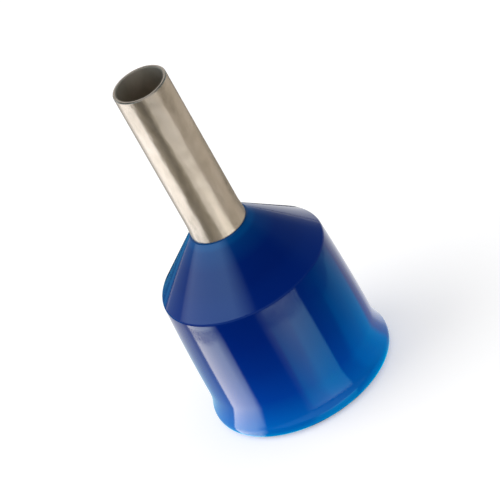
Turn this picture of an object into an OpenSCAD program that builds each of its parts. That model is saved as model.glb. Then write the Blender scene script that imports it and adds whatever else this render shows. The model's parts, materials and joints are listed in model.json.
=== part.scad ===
// Insulated wire ferrule with a wide collar: a thin tinned-copper sleeve that takes the bare strands
// and is crimped, and a moulded plastic collar that takes the end of the wire's insulation.
// Both pieces are bodies of revolution. The collar stands on its open rim at z = 0, and +Z runs
// along the axis to the cut end of the sleeve. Sections are drawn in the X-Y plane as radius
// and height, and rotate_extrude turns them about the axis.

/* [Sleeve] */
// Inside diameter of the sleeve, which takes the bare strands
bore_d = 2.2; // [1.6:0.1:3]
// Wall of the copper tube
sleeve_wall = 0.16; // [0.1:0.01:0.25]
// How far the sleeve widens down to the neck, which keeps the collar from sliding off over it
root_spread = 0.05; // [0.02:0.01:0.1]
// Length of that widening, just above the neck
root_len = 0.6; // [0.55:0.05:1]
// Length of the sleeve that stands out of the collar
pin_len = 8; // [6:0.5:18]
// Length of straight sleeve that the neck holds, down to where the bell begins
grip_len = 1; // [0.5:0.05:1.4]
// How far the bell at the inner end spreads out past the sleeve
bell_spread = 0.75; // [0.5:0.05:1]
// Inside radius of the bend between the sleeve and its bell
bend_r = 0.2; // [0.1:0.05:0.4]
// Rounding of both edges of the cut end
cut_edge_r = 0.05; // [0.02:0.01:0.07]

/* [Collar] */
// Length of the collar, from its open rim to its neck
collar_len = 8.9; // [7.5:0.1:12]
// Inside diameter of the socket, which takes the insulation of the wire
socket_d = 6.8; // [6:0.1:8]
// Wall of the socket, where the lip begins
socket_wall = 0.55; // [0.4:0.01:0.8]
// Radius of the wall's slight curve in towards the shoulder
wall_curve_r = 95; // [60:5:130]
// Half angle of the cone, outside and in the funnel inside
cone_angle = 45; // [38:1:52]
// Width of the plastic round the sleeve at the top of the neck
neck_wall = 0.07; // [0.06:0.01:0.3]
// Rounding of the shoulder, between the wall and the cone
shoulder_round = 0.15; // [0.05:0.05:0.5]
// Rounding of the neck's top edge
neck_round = 0.04; // [0.02:0.02:0.14]

/* [Lip] */
// How far the lip stands out past the wall
lip_out = 0.22; // [0.1:0.01:0.4]
// Length of the lip, from the rim to where it has faded into the wall
lip_len = 1.65; // [1.2:0.05:2.5]
// Width of the flat ring that the collar stands on
rim_flat = 0.14; // [0.06:0.02:0.2]
// Width of the lead-in chamfer inside the rim
lead_in_w = 0.2; // [0.1:0.02:0.3]
// Length of the lead-in chamfer along the axis
lead_in_len = 0.35; // [0.2:0.05:0.8]

/* [Hidden] */
$fn = 180;

// How far a rounding reaches into the faces that it joins, so that no sliver is left between them
lap = 0.0001;

// Radii of the main surfaces
bore_r = bore_d / 2;
sleeve_r = bore_r + sleeve_wall;
root_bore_r = bore_r + root_spread;
root_r = sleeve_r + root_spread;
bell_r = root_r + bell_spread;
neck_r = root_r + neck_wall;
socket_r = socket_d / 2;
barrel_r = socket_r + socket_wall;
lip_r = barrel_r + lip_out;
rim_in_r = socket_r + lead_in_w;
rim_round = lip_r - rim_in_r - rim_flat;

// Heights
top_z = collar_len + pin_len;
root_z = collar_len + root_len;
bend_z = collar_len - grip_len;

// Along the cone, down and outwards, and square to it, out of the plastic
cone_dir = [sin(cone_angle), -cos(cone_angle)];
cone_out = along(cone_angle);

// The bell: its bend turns round bend_c, and its straight flare has a plastic side and a bore side
bend_c = [root_r + bend_r, bend_z];
bend_bore_r = bend_r + sleeve_wall;
bell_top_out = bend_c - bend_r * cone_out;
bell_top_in = bend_c - bend_bore_r * cone_out;
bell_len = (bell_r - bell_top_out.x) / cone_dir.x;
bell_end_out = bell_top_out + bell_len * cone_dir;
bell_end_in = bell_top_in + bell_len * cone_dir;

// The funnel carries the bell's bore side on, flush, to the wall of the socket
funnel_end = bell_end_in + (socket_r - bell_end_in.x) / cone_dir.x * cone_dir;

// The shoulder's rounding touches the cone and, from inside, the circle that the wall follows
neck_corner = [neck_r, collar_len];
wall_c = [barrel_r - wall_curve_r, lip_len];
shoulder_c = far_crossing(
    neck_corner - shoulder_round * cone_out, cone_dir, wall_c, wall_curve_r - shoulder_round);
shoulder_low = wall_c + wall_curve_r * unit(shoulder_c - wall_c);
shoulder_high = shoulder_c + shoulder_round * cone_out;

// The neck's rounding touches the cone and the flat top
neck_c = [neck_r - neck_round * (1 - cone_out.y) / cone_out.x, collar_len - neck_round];

// The rim's rounding, and the hollow flare that leaves the wall upright and touches that rounding
rim_c = [lip_r - rim_round, rim_round];
flare_in = barrel_r - rim_c.x;
flare_h = lip_len - rim_round;
flare_r = (flare_in * flare_in + flare_h * flare_h - rim_round * rim_round) / (2 * lip_out);
flare_c = [barrel_r + flare_r, lip_len];
flare_low = rim_c + rim_round * unit(flare_c - rim_c);

function unit(v) = v / norm(v);
function angle_of(v) = atan2(v.y, v.x);
function along(angle) = [cos(angle), sin(angle)];

// The far point where the line through p along unit vector d crosses the circle of radius r round c
function far_crossing(p, d, c, r) =
    let (q = p - c, half = q * d)
    p + d * (sqrt(half * half - q * q + r * r) - half);

// A rounded corner: what lies between the arc round c, from one angle to the other, and its chord.
// It reaches a little way into the section on all sides: past each end, the arc dips into it.
module corner(c, r, from, to) {
    dip_angle = 2 * acos(r / (r + lap));
    first = from - dip_angle;
    last = to + dip_angle;
    inner = 0.9 * r;
    outer = 2 * r;
    translate(c)
    intersection() {
        circle(r + lap);
        polygon([
            inner * along(first),
            outer * along(first),
            1.5 * outer * along((first + last) / 2),
            outer * along(last),
            inner * along(last)]);
    }
}

// The wall of the tube: its rounded cut end, its wider root in the neck, and its bell
module sleeve_section() {
    edge_r = min(cut_edge_r, 0.45 * sleeve_wall);
    difference() {
        union() {
            polygon([
                [root_r, bend_z],
                [root_r, collar_len],
                [sleeve_r, root_z],
                [sleeve_r, top_z - edge_r],
                [sleeve_r - edge_r, top_z],
                [bore_r + edge_r, top_z],
                [bore_r, top_z - edge_r],
                [bore_r, root_z],
                [root_bore_r, collar_len],
                [root_bore_r, bend_z],
                bell_top_in,
                bell_end_in,
                bell_end_out,
                bell_top_out]);
            corner([sleeve_r - edge_r, top_z - edge_r], edge_r, 0, 90);
            corner([bore_r + edge_r, top_z - edge_r], edge_r, 90, 180);
            corner(bend_c, bend_bore_r, 180, 180 + cone_angle);
        }
        translate(bend_c) circle(bend_r + lap);
    }
}

// The collar's outline, with straight lines in place of its curves
module collar_straight_section() {
    polygon([
        [rim_in_r, 0],
        [rim_c.x, 0],
        flare_low,
        [barrel_r, lip_len],
        shoulder_low,
        shoulder_high,
        neck_c + neck_round * cone_out,
        [neck_c.x, collar_len],
        [root_r, collar_len],
        [root_r, bend_z],
        bell_top_out,
        bell_end_out,
        bell_end_in,
        funnel_end,
        [socket_r, lead_in_len]]);
}

// The wall between the lip and the shoulder, which bulges slightly past its straight line
module wall_curve_section() {
    intersection() {
        translate(wall_c) circle(wall_curve_r, $fn = 256);
        polygon([
            [barrel_r, lip_len],
            [lip_r, lip_len],
            [lip_r, shoulder_low.y],
            shoulder_low,
            [socket_r, shoulder_low.y],
            [socket_r, lip_len]]);
    }
}

// The whole wall of the collar: lip, socket, shoulder, cone, neck, funnel and the bell's seat
module collar_section() {
    difference() {
        union() {
            collar_straight_section();
            wall_curve_section();
            corner(rim_c, rim_round, -90, angle_of(flare_low - rim_c));
            corner(shoulder_c, shoulder_round, angle_of(shoulder_low - shoulder_c), cone_angle);
            corner(neck_c, neck_round, cone_angle, 90);
            corner(bend_c, bend_r, 180, 180 + cone_angle);
        }
        translate(flare_c) circle(flare_r + lap);
        translate([0, -1]) square([lip_r + 1, 1]);
    }
}

// Tinned copper tube, cut square at the top and belled inside the collar
module metal_sleeve() {
    color("#cfc3ad")
    rotate_extrude() sleeve_section();
}

// Blue moulded collar that grips the sleeve at its neck
module insulating_collar() {
    color("#0a4a9c")
    rotate_extrude() collar_section();
}

metal_sleeve();
insulating_collar();
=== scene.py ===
# %% [markdown]
# # A wire ferrule with an insulating collar
#
# This notebook dresses a small crimp part: a thin tinned-copper sleeve that takes the bare strands of
# a wire, and a blue moulded collar that takes the end of its insulation. The construction comes from a
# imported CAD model, and this script gives it its looks: fine round meshes, two finishes and a studio.

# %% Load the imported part
import json
import math

import bmesh
import bpy
from mathutils import Matrix, Vector


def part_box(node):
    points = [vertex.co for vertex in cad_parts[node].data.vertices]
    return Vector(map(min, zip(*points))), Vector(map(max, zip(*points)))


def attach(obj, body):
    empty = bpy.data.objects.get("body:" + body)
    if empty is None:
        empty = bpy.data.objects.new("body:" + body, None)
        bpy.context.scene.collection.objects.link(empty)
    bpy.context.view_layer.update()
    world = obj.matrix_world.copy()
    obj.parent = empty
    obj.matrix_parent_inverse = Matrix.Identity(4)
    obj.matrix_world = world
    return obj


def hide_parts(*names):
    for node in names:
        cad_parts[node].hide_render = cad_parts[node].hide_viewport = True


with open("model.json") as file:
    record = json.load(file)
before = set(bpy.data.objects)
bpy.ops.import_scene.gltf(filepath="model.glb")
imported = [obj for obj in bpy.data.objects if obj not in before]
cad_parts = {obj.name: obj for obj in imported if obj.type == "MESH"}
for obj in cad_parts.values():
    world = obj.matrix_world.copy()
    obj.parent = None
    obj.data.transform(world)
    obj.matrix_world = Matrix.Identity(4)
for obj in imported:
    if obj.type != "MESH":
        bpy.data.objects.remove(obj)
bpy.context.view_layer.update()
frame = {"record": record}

# %% [markdown]
# The CAD meshes are facetted for speed, with a few dozen sides. A polished tube shows each of those
# facets, so both pieces are turned again here with many more sides. Their main sizes are read from
# the part itself: the boxes of its two nodes, and the bore and pin that its record states. What those
# don't give, such as the small roundings, is a named value in millimetres.

# %% Read the driving sizes
MM = 0.001
SIDES = 288

mounts = {mount["name"]: mount["dims"] for mount in frame["record"]["mounts"]}
bore_r = mounts["conductor_bore"]["r_mm"] * MM
sleeve_r = mounts["crimp_pin"]["r_mm"] * MM
socket_r = mounts["insulation_socket"]["r_mm"] * MM

sleeve_low, sleeve_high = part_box("metal_sleeve")
collar_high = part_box("insulating_collar")[1]
top_z = sleeve_high.z
bell_z = sleeve_low.z
bell_r = sleeve_high.x
neck_z = collar_high.z
lip_r = collar_high.x
wall = sleeve_r - bore_r
print(f"sleeve {2 * sleeve_r / MM:.2f} mm across, collar {2 * lip_r / MM:.2f} mm across at its lip")

# %% [markdown]
# Both pieces are bodies of revolution. On a lathe the section would be turned from bar; here one ring
# of edges is extruded from point to point along the outline, and scaled to each point's radius. A spin
# of a drawn face would give the same body, but rings keep every corner as one clean loop of edges,
# which can be found by its radius and height and rounded with a bevel.

# %% Helpers for turned pieces
def deselect_all():
    bpy.ops.object.select_all(action="DESELECT")


def arc(centre_r, centre_z, radius, start, end, steps):
    """Points of (radius, height) on an arc, from one angle to the other in degrees."""
    angles = [math.radians(start + (end - start) * i / steps) for i in range(steps + 1)]
    return [(centre_r + radius * math.cos(a), centre_z + radius * math.sin(a)) for a in angles]


def extrude_ring(step_z, scale, height):
    """Extrudes the selected ring of edges, lifts it by step_z and scales it about the axis."""
    bpy.ops.mesh.extrude_edges_move(TRANSFORM_OT_translate={"value": (0, 0, step_z)})
    bpy.ops.transform.resize(value=(scale, scale, 1), center_override=(0, 0, height))


def select_rings(piece, corners, near=0.002 * MM):
    """Selects the rings of edges at these (radius, height) corners."""
    bpy.ops.mesh.select_mode(type="EDGE")
    bpy.ops.mesh.select_all(action="DESELECT")
    mesh = bmesh.from_edit_mesh(piece.data)
    for edge in mesh.edges:
        ends = [(math.hypot(v.co.x, v.co.y), v.co.z) for v in edge.verts]
        if any(all(math.dist(end, corner) < near for end in ends) for corner in corners):
            edge.select = True
    bmesh.update_edit_mesh(piece.data)


def turn(name, outline):
    """Turns a closed outline of (radius, height) points into a ring-shaped solid."""
    deselect_all()
    radius, height = outline[0]
    bpy.ops.mesh.primitive_circle_add(vertices=SIDES, radius=radius, location=(0, 0, height))
    bpy.ops.object.transform_apply(location=True, rotation=False, scale=False)
    piece = bpy.context.object
    piece.name = name
    bpy.ops.object.mode_set(mode="EDIT")
    bpy.ops.mesh.select_all(action="SELECT")
    for next_radius, next_height in outline[1:]:
        extrude_ring(next_height - height, next_radius / radius, next_height)
        radius, height = next_radius, next_height
    select_rings(piece, [outline[0], outline[-1]])
    bpy.ops.mesh.bridge_edge_loops()
    return piece


def round_corner(piece, corner, radius, turn_angle, segments):
    """Rounds the ring at a corner, where the outline turns by turn_angle, to this radius."""
    select_rings(piece, [corner])
    offset = radius * math.tan(math.radians(turn_angle) / 2)
    bpy.ops.mesh.bevel(offset=offset, offset_type="OFFSET", segments=segments, profile=0.5)


def finish_turned(piece):
    """Leaves edit mode with faces that point outwards and are shaded smooth."""
    bpy.ops.mesh.select_all(action="SELECT")
    bpy.ops.mesh.remove_doubles(threshold=0.0005 * MM)
    bpy.ops.mesh.normals_make_consistent(inside=False)
    bpy.ops.object.mode_set(mode="OBJECT")
    bpy.ops.object.shade_smooth_by_angle(angle=math.radians(30))
    print(piece.name, len(piece.data.polygons), "faces")

# %% [markdown]
# The sleeve is a length of thin copper tube, cut square, widened a little where the neck of the collar
# grips it, and belled at its inner end so that no strand catches on the way in. The wall keeps its
# thickness through every bend, so the inside outline is the outside one moved in by the wall.

# %% Turn the sleeve
ROOT_SPREAD = 0.05 * MM
ROOT_LEN = 0.6 * MM
GRIP_LEN = 1.0 * MM
BEND_R = 0.2 * MM
CUT_EDGE_R = 0.05 * MM
CONE_ANGLE = 45

root_r = sleeve_r + ROOT_SPREAD
root_z = neck_z + ROOT_LEN
bend_z = neck_z - GRIP_LEN
bend_outside = arc(root_r + BEND_R, bend_z, BEND_R, 180, 180 + CONE_ANGLE, 6)
bend_inside = arc(root_r + BEND_R, bend_z, BEND_R + wall, 180, 180 + CONE_ANGLE, 6)
slope = math.tan(math.radians(CONE_ANGLE))
bell_out_z = bend_outside[-1][1] - (bell_r - bend_outside[-1][0]) / slope
bell_in_r = bell_r - wall * math.cos(math.radians(CONE_ANGLE))

sleeve_outline = [
    (bell_in_r, bell_z),
    (bell_r, bell_out_z),
    *reversed(bend_outside),
    (root_r, neck_z),
    (sleeve_r, root_z),
    (sleeve_r, top_z),
    (bore_r, top_z),
    (bore_r, root_z),
    (root_r - wall, neck_z),
    *bend_inside,
]
sleeve = turn("tinned_sleeve", sleeve_outline)
round_corner(sleeve, (sleeve_r, top_z), CUT_EDGE_R, 90, 5)
round_corner(sleeve, (bore_r, top_z), CUT_EDGE_R, 90, 5)
finish_turned(sleeve)

# %% [markdown]
# The collar is one moulding. From its flat rim it rises in a rounded lip that flares back into a thin
# wall. The wall bulges by a few hundredths of a millimetre, turns a crisp shoulder into a 45 degree
# cone, and ends in a narrow neck round the sleeve. Inside are the lead-in chamfer, the socket for the
# insulation, and a funnel that carries on into the sleeve's bell.

# %% Turn the collar
LIP_OUT = 0.22 * MM
LIP_LEN = 1.65 * MM
RIM_FLAT = 0.14 * MM
LEAD_IN_W = 0.2 * MM
LEAD_IN_LEN = 0.35 * MM
WALL_CURVE_R = 95 * MM
NECK_WALL = 0.07 * MM
SHOULDER_ROUND = 0.15 * MM
NECK_ROUND = 0.04 * MM

barrel_r = lip_r - LIP_OUT
rim_in_r = socket_r + LEAD_IN_W
rim_round = lip_r - rim_in_r - RIM_FLAT
rim_x = lip_r - rim_round
flare_in = barrel_r - rim_x
flare_h = LIP_LEN - rim_round
flare_r = (flare_in**2 + flare_h**2 - rim_round**2) / (2 * LIP_OUT)
flare_angle = math.degrees(math.atan2(flare_h, barrel_r + flare_r - rim_x))
neck_r = root_r + NECK_WALL


def wall_r(z):
    """Radius of the gently curved wall at a height."""
    return barrel_r - WALL_CURVE_R + math.sqrt(WALL_CURVE_R**2 - (z - LIP_LEN) ** 2)


SETTLING_STEPS = 30
shoulder_z = neck_z
for _ in range(SETTLING_STEPS):
    shoulder_z = neck_z - (wall_r(shoulder_z) - neck_r) * slope

funnel_z = bell_z - (socket_r - bell_in_r) / slope
collar_outline = [
    (socket_r, LEAD_IN_LEN),
    (rim_in_r, 0),
    *arc(rim_x, rim_round, rim_round, -90, flare_angle, 16),
    *arc(barrel_r + flare_r, LIP_LEN, flare_r, 180 + flare_angle, 180, 16)[1:],
    *[(wall_r(z), z) for z in [LIP_LEN + (shoulder_z - LIP_LEN) * i / 10 for i in range(1, 11)]],
    (neck_r, neck_z),
    (root_r, neck_z),
    *bend_outside,
    (bell_r, bell_out_z),
    (bell_in_r, bell_z),
    (socket_r, funnel_z),
]
collar = turn("blue_collar", collar_outline)
round_corner(collar, (wall_r(shoulder_z), shoulder_z), SHOULDER_ROUND, CONE_ANGLE, 8)
round_corner(collar, (neck_r, neck_z), NECK_ROUND, 90 - CONE_ANGLE, 4)
finish_turned(collar)

# %% [markdown]
# The sleeve is drawn copper with an electroplated coat of tin. Tin is a warm grey metal, satin and not
# mirror-like, and a thin drawn tube is never quite even: its skin has shallow dimples that break up the
# edges of every reflection. A metallic shader takes the tin's colour, one noise clouds it a little, and
# a finer one, stretched along the tube as drawing does, dimples it as bump. Inside the bore the plating
# is dull, so the roughness rises where the distance from the axis is under the middle of the wall.

# %% Helpers for finishes
def new_material(name):
    """A material with nodes, and its node and link lists."""
    material = bpy.data.materials.new(name)
    material.use_nodes = True
    return material, material.node_tree.nodes, material.node_tree.links


def set_stops(ramp, stops):
    """Gives a colour ramp these (position, colour) stops."""
    elements = ramp.color_ramp.elements
    while len(elements) < len(stops):
        elements.new(0.5)
    for element, (position, colour) in zip(elements, stops):
        element.position = position
        element.color = (*colour, 1)


def map_range(nodes, links, source, lowest, highest, low_value, high_value):
    """A node that maps a value from one range to another, and stays inside it."""
    node = nodes.new("ShaderNodeMapRange")
    links.new(source, node.inputs["Value"])
    node.inputs["From Min"].default_value = lowest
    node.inputs["From Max"].default_value = highest
    node.inputs["To Min"].default_value = low_value
    node.inputs["To Max"].default_value = high_value
    return node.outputs["Result"]


# %% Tin plating
DRAWN_STRETCH = 0.55
CLOUD_SCALE = 1200
DIMPLE_SCALE = 2500
DIMPLE_DEPTH = 0.016 * MM
BORE_ROUGHNESS = 0.7
SKIN_ROUGHNESS = 0.25

tin, nodes, links = new_material("tin_plated_copper")
shader = nodes["Principled BSDF"]
shader.inputs["Metallic"].default_value = 1
place = nodes.new("ShaderNodeTexCoord")
stretch = nodes.new("ShaderNodeMapping")
stretch.inputs["Scale"].default_value = (1, 1, DRAWN_STRETCH)
links.new(place.outputs["Object"], stretch.inputs["Vector"])

cloud = nodes.new("ShaderNodeTexNoise")
cloud.inputs["Scale"].default_value = CLOUD_SCALE
cloud.inputs["Detail"].default_value = 3
links.new(stretch.outputs["Vector"], cloud.inputs["Vector"])
tone = nodes.new("ShaderNodeValToRGB")
set_stops(tone, [(0.32, (0.66, 0.585, 0.485)), (0.5, (0.74, 0.66, 0.56)), (0.68, (0.79, 0.71, 0.615))])
links.new(cloud.outputs["Fac"], tone.inputs["Fac"])
links.new(tone.outputs["Color"], shader.inputs["Base Color"])

dimples = nodes.new("ShaderNodeTexNoise")
dimples.inputs["Scale"].default_value = DIMPLE_SCALE
dimples.inputs["Detail"].default_value = 2
dimples.inputs["Roughness"].default_value = 0.45
links.new(stretch.outputs["Vector"], dimples.inputs["Vector"])
bump = nodes.new("ShaderNodeBump")
bump.inputs["Distance"].default_value = DIMPLE_DEPTH
links.new(dimples.outputs["Fac"], bump.inputs["Height"])
links.new(bump.outputs["Normal"], shader.inputs["Normal"])

across_axis = nodes.new("ShaderNodeVectorMath")
across_axis.operation = "MULTIPLY"
across_axis.inputs[1].default_value = (1, 1, 0)
radius = nodes.new("ShaderNodeVectorMath")
radius.operation = "LENGTH"
links.new(place.outputs["Object"], across_axis.inputs[0])
links.new(across_axis.outputs["Vector"], radius.inputs[0])
mid_wall = (bore_r + sleeve_r) / 2
dull = map_range(nodes, links, radius.outputs["Value"], bore_r, mid_wall, BORE_ROUGHNESS, SKIN_ROUGHNESS)
links.new(dull, shader.inputs["Roughness"])
sleeve.data.materials.append(tin)
print(tin.name, len(nodes), "nodes")

# %% [markdown]
# The collar is injection-moulded polypropylene, pigmented blue. The plastic is glossy and a little
# translucent, and it looks navy on the cone and azure towards the open rim, because light from the white
# table comes through its thin wall. Subsurface scattering could work that out from the light. A ramp
# over the height is simpler and steadier, so that light is painted into the base colour: the collar is
# painted paler towards the rim, and a paler band just under the neck is a painted highlight where light
# comes through the thin neck. The gloss is tinted blue as well. A clear plastic's own gloss is white,
# and the tint stands in for light that comes back from just under the skin.

# %% Blue polypropylene
blue, nodes, links = new_material("blue_polypropylene")
shader = nodes["Principled BSDF"]
shader.inputs["Roughness"].default_value = 0.1
shader.inputs["IOR"].default_value = 1.49
shader.inputs["Specular Tint"].default_value = (0.4, 0.7, 1, 1)
place = nodes.new("ShaderNodeTexCoord")
parts = nodes.new("ShaderNodeSeparateXYZ")
ramp = nodes.new("ShaderNodeValToRGB")
links.new(place.outputs["Object"], parts.inputs[0])
height = map_range(nodes, links, parts.outputs["Z"], 0, neck_z, 0, 1)
links.new(height, ramp.inputs["Fac"])
links.new(ramp.outputs["Color"], shader.inputs["Base Color"])
# Painted light: the stops grow paler towards the rim for light through the thin wall, with a painted
# highlight just under the neck.
set_stops(ramp, [
    (0.02, (0.0, 0.18, 0.63)),
    (0.11, (0.0, 0.115, 0.53)),
    (0.22, (0.0, 0.056, 0.40)),
    (0.40, (0.0, 0.029, 0.27)),
    (0.56, (0.0, 0.019, 0.21)),
    (0.79, (0.0, 0.015, 0.165)),
    (0.83, (0.0, 0.013, 0.15)),
    (0.90, (0.0, 0.014, 0.15)),
    (0.97, (0.0, 0.035, 0.19)),
    (0.985, (0.0, 0.06, 0.24)),
])
collar.data.materials.append(blue)
print(blue.name, len(nodes), "nodes")

# %% [markdown]
# Each piece takes the place of its CAD node and rides on the part's one body.

# %% Fit the pieces to the part
for piece, node, slot in (
    (sleeve, "metal_sleeve", "tinned_copper"),
    (collar, "insulating_collar", "blue_plastic"),
):
    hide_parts(node)
    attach(piece, "root")
    print(piece.name, "stands for", node)

# %% [markdown]
# The camera is far away with a long lens, as for a catalogue picture, and looks down by about a third
# of a right angle. It is rolled, so that the ferrule leans across the square frame.

# %% Camera
CAMERA_ELEVATION = 32.07
CAMERA_DISTANCE = 400 * MM
AIM_RIGHT = 0.606 * MM
AIM_UP = 5.882 * MM
ROLL = 29.67
LENS = 664.36

elevation = math.radians(CAMERA_ELEVATION)
forward = Vector((0, math.cos(elevation), -math.sin(elevation)))
upward = Vector((0, math.sin(elevation), math.cos(elevation)))
across = Vector((1, 0, 0))
aim = across * AIM_RIGHT + upward * AIM_UP
lean = math.radians(ROLL)
right = across * math.cos(lean) - upward * math.sin(lean)
up = across * math.sin(lean) + upward * math.cos(lean)
bpy.ops.object.camera_add()
camera = bpy.context.object
camera.matrix_world = Matrix((
    (right.x, up.x, -forward.x, 0),
    (right.y, up.y, -forward.y, 0),
    (right.z, up.z, -forward.z, 0),
    (0, 0, 0, 1),
))
camera.location = aim - forward * CAMERA_DISTANCE
camera.data.lens = LENS
camera.data.sensor_width = 36
camera.data.clip_start = 0.01
camera.data.clip_end = 10
bpy.context.scene.camera = camera
print(f"camera {CAMERA_DISTANCE:.2f} m away, {CAMERA_ELEVATION} degrees above the table")

# %% [markdown]
# The part stands on white paper that fades into a white background. The paper is lit as any surface
# is, so it keeps the soft shadow. A little glow brings it up to the white of the background, for rays
# that see it straight, off gloss or through glass.

# %% Floor
PAPER = 0.8
PAPER_GLOW = 0.38


def straight_rays(nodes, links):
    """One for rays that come straight from the camera, off gloss or through glass, else nothing."""
    path = nodes.new("ShaderNodeLightPath")
    total = path.outputs["Is Camera Ray"]
    for kind in ("Is Glossy Ray", "Is Transmission Ray"):
        either = nodes.new("ShaderNodeMath")
        either.operation = "MAXIMUM"
        links.new(total, either.inputs[0])
        links.new(path.outputs[kind], either.inputs[1])
        total = either.outputs[0]
    return total


deselect_all()
bpy.ops.mesh.primitive_plane_add(size=6)
floor = bpy.context.object
floor.name = "floor"
paper, nodes, links = new_material("white_paper")
shader = nodes["Principled BSDF"]
shader.inputs["Base Color"].default_value = (PAPER, PAPER, PAPER, 1)
shader.inputs["Roughness"].default_value = 1
shader.inputs["Specular IOR Level"].default_value = 0
shader.inputs["Emission Color"].default_value = (1, 1, 1, 1)
glow = map_range(nodes, links, straight_rays(nodes, links), 0, 1, 0, PAPER_GLOW)
links.new(glow, shader.inputs["Emission Strength"])
floor.data.materials.append(paper)
print(floor.name, "of", paper.name)

# %% [markdown]
# The room gives plain even light. To the camera it is white. The gloss is shown another room: a pale
# band round the horizon, and above it a dark ceiling, which keeps the blue of the cone deep, with one
# opening straight overhead that brightens the dull bore. The band is cool on the left and dimmer on the
# right.

# %% Room light
FILL = 0.65
GLOSS_LEVELS = ((0, 0.7), (0.53, 0.5), (0.7, 0.04), (0.9, 0), (0.94, 0.9))

world = bpy.data.worlds.new("studio")
world.use_nodes = True
world.cycles.sampling_method = "NONE"
bpy.context.scene.world = world
nodes, links = world.node_tree.nodes, world.node_tree.links
sky = nodes["Background"]
place = nodes.new("ShaderNodeTexCoord")
parts = nodes.new("ShaderNodeSeparateXYZ")
links.new(place.outputs["Generated"], parts.inputs[0])
ramp = nodes.new("ShaderNodeValToRGB")
links.new(parts.outputs["Z"], ramp.inputs["Fac"])
set_stops(ramp, [(z, (level,) * 3) for z, level in GLOSS_LEVELS])
shade = nodes.new("ShaderNodeMix")
shade.data_type = "RGBA"
shade.blend_type = "MULTIPLY"
shade.inputs["Factor"].default_value = 1
side = nodes.new("ShaderNodeValToRGB")
links.new(map_range(nodes, links, parts.outputs["X"], -1, 1, 0, 1), side.inputs["Fac"])
set_stops(side, [
    (0.2, (0.65, 0.85, 1)), (0.35, (1, 1, 1)), (0.65, (1, 1, 1)), (0.85, (0.25, 0.35, 0.4))
])
links.new(ramp.outputs["Color"], shade.inputs["A"])
links.new(side.outputs["Color"], shade.inputs["B"])
path = nodes.new("ShaderNodeLightPath")
level = shade.outputs["Result"]
for kind, factor, other in (
    ("Is Glossy Ray", "B", (FILL, FILL, FILL, 1)),
    ("Is Camera Ray", "A", (1, 1, 1, 1)),
):
    choice = nodes.new("ShaderNodeMix")
    choice.data_type = "RGBA"
    choice.inputs["A" if factor == "B" else "B"].default_value = other
    links.new(path.outputs[kind], choice.inputs["Factor"])
    links.new(level, choice.inputs[factor])
    level = choice.outputs["Result"]
links.new(level, sky.inputs["Color"])
print(world.name, "fills at", FILL)

# %% [markdown]
# A large soft lamp stands to the left and a little behind. It gives the left side of the collar its
# brighter blue. What the gloss shows of the lamps is set apart, by the cards that follow, so this one
# is hidden from the gloss.

# %% Key lamp
KEY = 0.6
KEY_SIZE = 1.3
KEY_DISTANCE = 1.2


def point_at(azimuth, height, distance):
    """A place at this azimuth, from the camera's side round to the right, and this angle above it."""
    a, h = math.radians(azimuth), math.radians(height)
    return Vector((math.sin(a) * math.cos(h), -math.cos(a) * math.cos(h), math.sin(h))) * distance


key_place = point_at(-100, 35, KEY_DISTANCE)
bpy.ops.object.light_add(type="AREA", location=key_place)
key = bpy.context.object
key.name = "key_lamp"
key.rotation_euler = key_place.to_track_quat("Z", "Y").to_euler()
key.data.size = KEY_SIZE
key.data.energy = KEY * math.pi**2 * KEY_DISTANCE**2
key.visible_camera = False
key.visible_glossy = False
print(f"{key.name} {key.data.energy:.1f} W")

# %% [markdown]
# Shiny things show what is round them, so a photographer lays cards about them: white ones where a
# streak is wanted and dark ones beside it. An upright wall that is seen from above shows the table in
# front of it. For each place on the wall, the ray from the camera is followed off the wall and down to
# the table, and that is where a card's corner lies. The cards of each piece form one fan, tinted at its
# corners. Only the gloss of its own piece sees it.

# %% Helpers for cards
def seen_in(normal):
    """The direction in which a glossy face with this normal looks, for the camera."""
    to_camera = -forward
    return normal * (2 * normal.dot(to_camera)) - to_camera


def only_in_gloss(card, piece):
    """Hides a card from all but the gloss of one piece."""
    for rays in ("camera", "diffuse", "shadow", "transmission"):
        setattr(card, "visible_" + rays, False)
    if piece:
        receivers = bpy.data.collections.new(card.name + "_receiver")
        receivers.objects.link(piece)
        card.light_linking.receiver_collection = receivers


def glow_paint(name):
    """A clear film that glows with the tint of the card's corners."""
    paint, nodes, links = new_material(name)
    nodes.remove(nodes["Principled BSDF"])
    tint = nodes.new("ShaderNodeAttribute")
    tint.attribute_name = "tint"
    film = nodes.new("ShaderNodeBsdfTransparent")
    light = nodes.new("ShaderNodeEmission")
    both = nodes.new("ShaderNodeAddShader")
    links.new(tint.outputs["Color"], light.inputs["Color"])
    links.new(light.outputs[0], both.inputs[0])
    links.new(film.outputs[0], both.inputs[1])
    links.new(both.outputs[0], nodes["Material Output"].inputs["Surface"])
    paint.cycles.emission_sampling = "NONE"
    return paint


def foot_of_ray(angle, wall_radius, height, tilt):
    """Where the wall, at this angle round it, height and upward tilt, shows the table."""
    normal = point_at(angle, math.degrees(tilt), 1)
    ray = seen_in(normal)
    start = point_at(angle, 0, wall_radius)
    return start + ray * (height / -ray.z)


CARD_LIFT = 0.04 * MM


def fan(name, piece, rows, stops):
    """Cards round a piece: rows of (radius, height, tilt), and stops of (angle, tint in each row)."""
    deselect_all()
    bpy.ops.mesh.primitive_grid_add(
        x_subdivisions=len(stops) - 1, y_subdivisions=len(rows) - 1, size=2
    )
    card = bpy.context.object
    card.name = name
    tints = card.data.color_attributes.new("tint", "FLOAT_COLOR", "POINT")
    for vertex in card.data.vertices:
        column = round((vertex.co.x + 1) / 2 * (len(stops) - 1))
        row = round((vertex.co.y + 1) / 2 * (len(rows) - 1))
        angle, *row_tints = stops[column]
        spot = foot_of_ray(angle, *rows[row])
        vertex.co = (spot.x, spot.y, CARD_LIFT)
        tints.data[vertex.index].color = (*row_tints[row], 1)
    card.data.materials.append(glow_paint(name + "_paint"))
    only_in_gloss(card, piece)
    print(name, len(stops), "stops")

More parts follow.
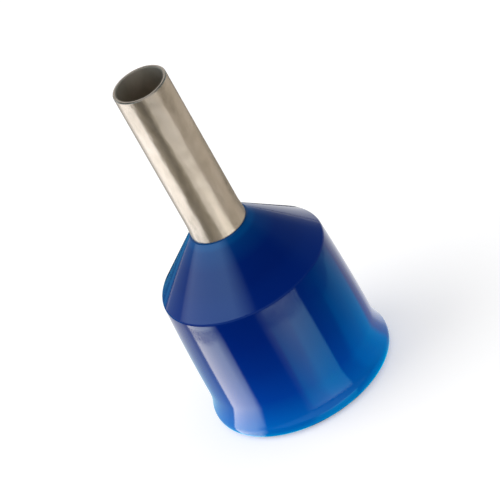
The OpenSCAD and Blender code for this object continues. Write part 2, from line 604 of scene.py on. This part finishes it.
# %% [markdown]
# Under the cards lies black velvet, so that where no card glows the gloss shows black. It is a disc
# just above the paper, wide enough for the lowest rays, and again only the gloss sees it.

# %% Dark blotter
BLOTTER_R = 200 * MM

deselect_all()
bpy.ops.mesh.primitive_circle_add(
    vertices=64, radius=BLOTTER_R, fill_type="NGON", location=(0, 0, CARD_LIFT / 2)
)
blotter = bpy.context.object
blotter.name = "dark_blotter"
black, nodes, links = new_material("black_velvet")
nodes["Principled BSDF"].inputs["Base Color"].default_value = (0, 0, 0, 1)
nodes["Principled BSDF"].inputs["Specular IOR Level"].default_value = 0
blotter.data.materials.append(black)
only_in_gloss(blotter, None)
print(blotter.name, "reaches", BLOTTER_R, "m")

# %% [markdown]
# The tube shows, from left to right, a dim edge, a bright streak, a dark band, a broad pale streak and
# a mid grey side. The darker the tint, the warmer it is, so that the tin keeps its beige in the shade.

# %% Cards for the tube
TUBE_NEAR_Z = neck_z * 0.9
TUBE_FAR_Z = 30 * MM


def grey(level, tone=(1, 1, 1)):
    """A tint at this level."""
    return tuple(level * part for part in tone)


def same(angle, tint):
    """A stop with one tint in both rows of the tube's fan."""
    return (angle, tint, tint)


DARK_WARM = (1, 0.92, 0.77)
RIGHT_WARM = (1, 0.92, 0.81)
FRONT_WARM = (1, 0.975, 0.93)
tube_stops = [
    same(-90, grey(0.45)),
    same(-72, grey(0.5)),
    same(-62, grey(1.45, (1, 1, 1.02))),
    same(-35, grey(1.45, (1, 1, 1.02))),
    same(-33, grey(0.32, DARK_WARM)),
    same(-8, grey(0.32, DARK_WARM)),
    same(-4, grey(1.3, FRONT_WARM)),
    same(4, grey(1.45, FRONT_WARM)),
    same(16, grey(1.35, FRONT_WARM)),
    same(22, grey(0.5, RIGHT_WARM)),
    same(50, grey(0.53, RIGHT_WARM)),
    same(82, grey(0.6, RIGHT_WARM)),
    same(88, grey(1.0)),
]
fan("tube_cards", sleeve, [(sleeve_r, TUBE_NEAR_Z, 0), (sleeve_r, TUBE_FAR_Z, 0)], tube_stops)

# %% [markdown]
# The collar shows a pale left edge, a narrow strong streak, deep blue, a broad soft streak that turns
# azure towards the foot, and a side that grows paler to the right. At the foot of the wall the white
# table has taken on blue from the collar, so the lowest row of tints is blue all round.

# %% Cards for the collar
WHITE = grey(1)
STREAK = (5.6, 4.9, 4.0)
NONE = (0, 0, 0)
SPILL = (0, 1.2, 1.8)
PALE_SPILL = (0.4, 0.75, 0.9)
BACK_SPILL = (0.1, 0.5, 0.8)


def wall_stop(angle, low, high, beyond):
    """A stop of the collar's fan: blue spill at the foot, then the tints low and high on the wall."""
    return (angle, SPILL, low, high, high, beyond, beyond)


collar_stops = [
    wall_stop(-90, PALE_SPILL, WHITE, BACK_SPILL),
    wall_stop(-66, PALE_SPILL, WHITE, BACK_SPILL),
    wall_stop(-63, PALE_SPILL, grey(0.7), BACK_SPILL),
    wall_stop(-60, PALE_SPILL, grey(0.7), BACK_SPILL),
    wall_stop(-59.5, STREAK, STREAK, grey(0.2)),
    wall_stop(-43, STREAK, STREAK, grey(0.2)),
    wall_stop(-36, NONE, NONE, NONE),
    wall_stop(-10, NONE, NONE, NONE),
    wall_stop(-4, (0.1, 1.6, 1.4), (1.9, 1.6, 1.2), NONE),
    wall_stop(9, (0.1, 3.0, 2.8), (4.2, 3.3, 2.6), NONE),
    wall_stop(21.5, (0.1, 2.4, 2.4), (2.5, 2.4, 2.0), NONE),
    wall_stop(22.5, (0, 0.3, 0.5), (0, 0.1, 0.1), NONE),
    wall_stop(38, (0, 1.2, 1.8), (0, 0.5, 0.4), NONE),
    wall_stop(54, (0, 1.2, 1.8), (0.3, 0.8, 0.8), grey(0.4)),
    wall_stop(66, grey(0.5), grey(0.6), grey(0.8)),
    wall_stop(76, WHITE, WHITE, WHITE),
    wall_stop(90, WHITE, WHITE, WHITE),
]
top_tilt = math.asin((shoulder_z - LIP_LEN) / WALL_CURVE_R)
top_r = wall_r(shoulder_z)
collar_rows = [
    (barrel_r, 0.05 * MM, 0),
    (barrel_r, 0.7 * MM, 0),
    (top_r, shoulder_z, top_tilt),
    (top_r, 1.12 * shoulder_z, top_tilt),
    (top_r, 1.4 * shoulder_z, top_tilt),
    (top_r, 12 * shoulder_z, top_tilt),
]
fan("collar_cards", collar, collar_rows, collar_stops)

# %% [markdown]
# The cone faces up, and its left half shows a soft box above and to the left. The box lies along the
# directions that the cone shows, from its sharp left edge to a right edge that fades.

# %% Soft box for the cone
BOX_DISTANCE = 500 * MM
BOX_DEPTH = 300 * MM
BOX_GLOW = 2.7
BOX_LEFT = -68
BOX_RIGHT = -4

ends = [seen_in(point_at(angle, 90 - CONE_ANGLE, 1)) for angle in (BOX_LEFT, BOX_RIGHT)]
middle = (ends[0] + ends[1]).normalized()
along = (ends[1] - ends[0]).normalized()
box_width = BOX_DISTANCE * 2 * ends[1].dot(along) / ends[1].dot(middle)
facing = -middle
sideways = facing.cross(along)
deselect_all()
bpy.ops.mesh.primitive_plane_add(size=1)
box = bpy.context.object
box.name = "soft_box"
box.matrix_world = Matrix((
    (along.x, sideways.x, facing.x, 0),
    (along.y, sideways.y, facing.y, 0),
    (along.z, sideways.z, facing.z, 0),
    (0, 0, 0, 1),
))
box.location = middle * BOX_DISTANCE
box.scale = (box_width, BOX_DEPTH, 1)
paint, nodes, links = new_material("soft_box_paint")
nodes.remove(nodes["Principled BSDF"])
place = nodes.new("ShaderNodeTexCoord")
parts = nodes.new("ShaderNodeSeparateXYZ")
links.new(place.outputs["Object"], parts.inputs[0])
light = nodes.new("ShaderNodeEmission")
fade = nodes.new("ShaderNodeValToRGB")
links.new(map_range(nodes, links, parts.outputs["X"], -0.5, 0.5, 0, 1), fade.inputs["Fac"])
set_stops(fade, [(x, (level,) * 3) for x, level in ((0, 0.35), (0.15, 0.8), (0.72, 1), (1, 0))])
links.new(fade.outputs["Color"], light.inputs["Color"])
light.inputs["Strength"].default_value = BOX_GLOW
links.new(light.outputs[0], nodes["Material Output"].inputs["Surface"])
paint.cycles.emission_sampling = "NONE"
box.data.materials.append(paint)
only_in_gloss(box, collar)
print(f"{box.name} {box_width:.2f} m wide")

# %% [markdown]
# Colours are shown as they are written.

# %% Show colours as they are written
bpy.context.scene.view_settings.view_transform = "Standard"
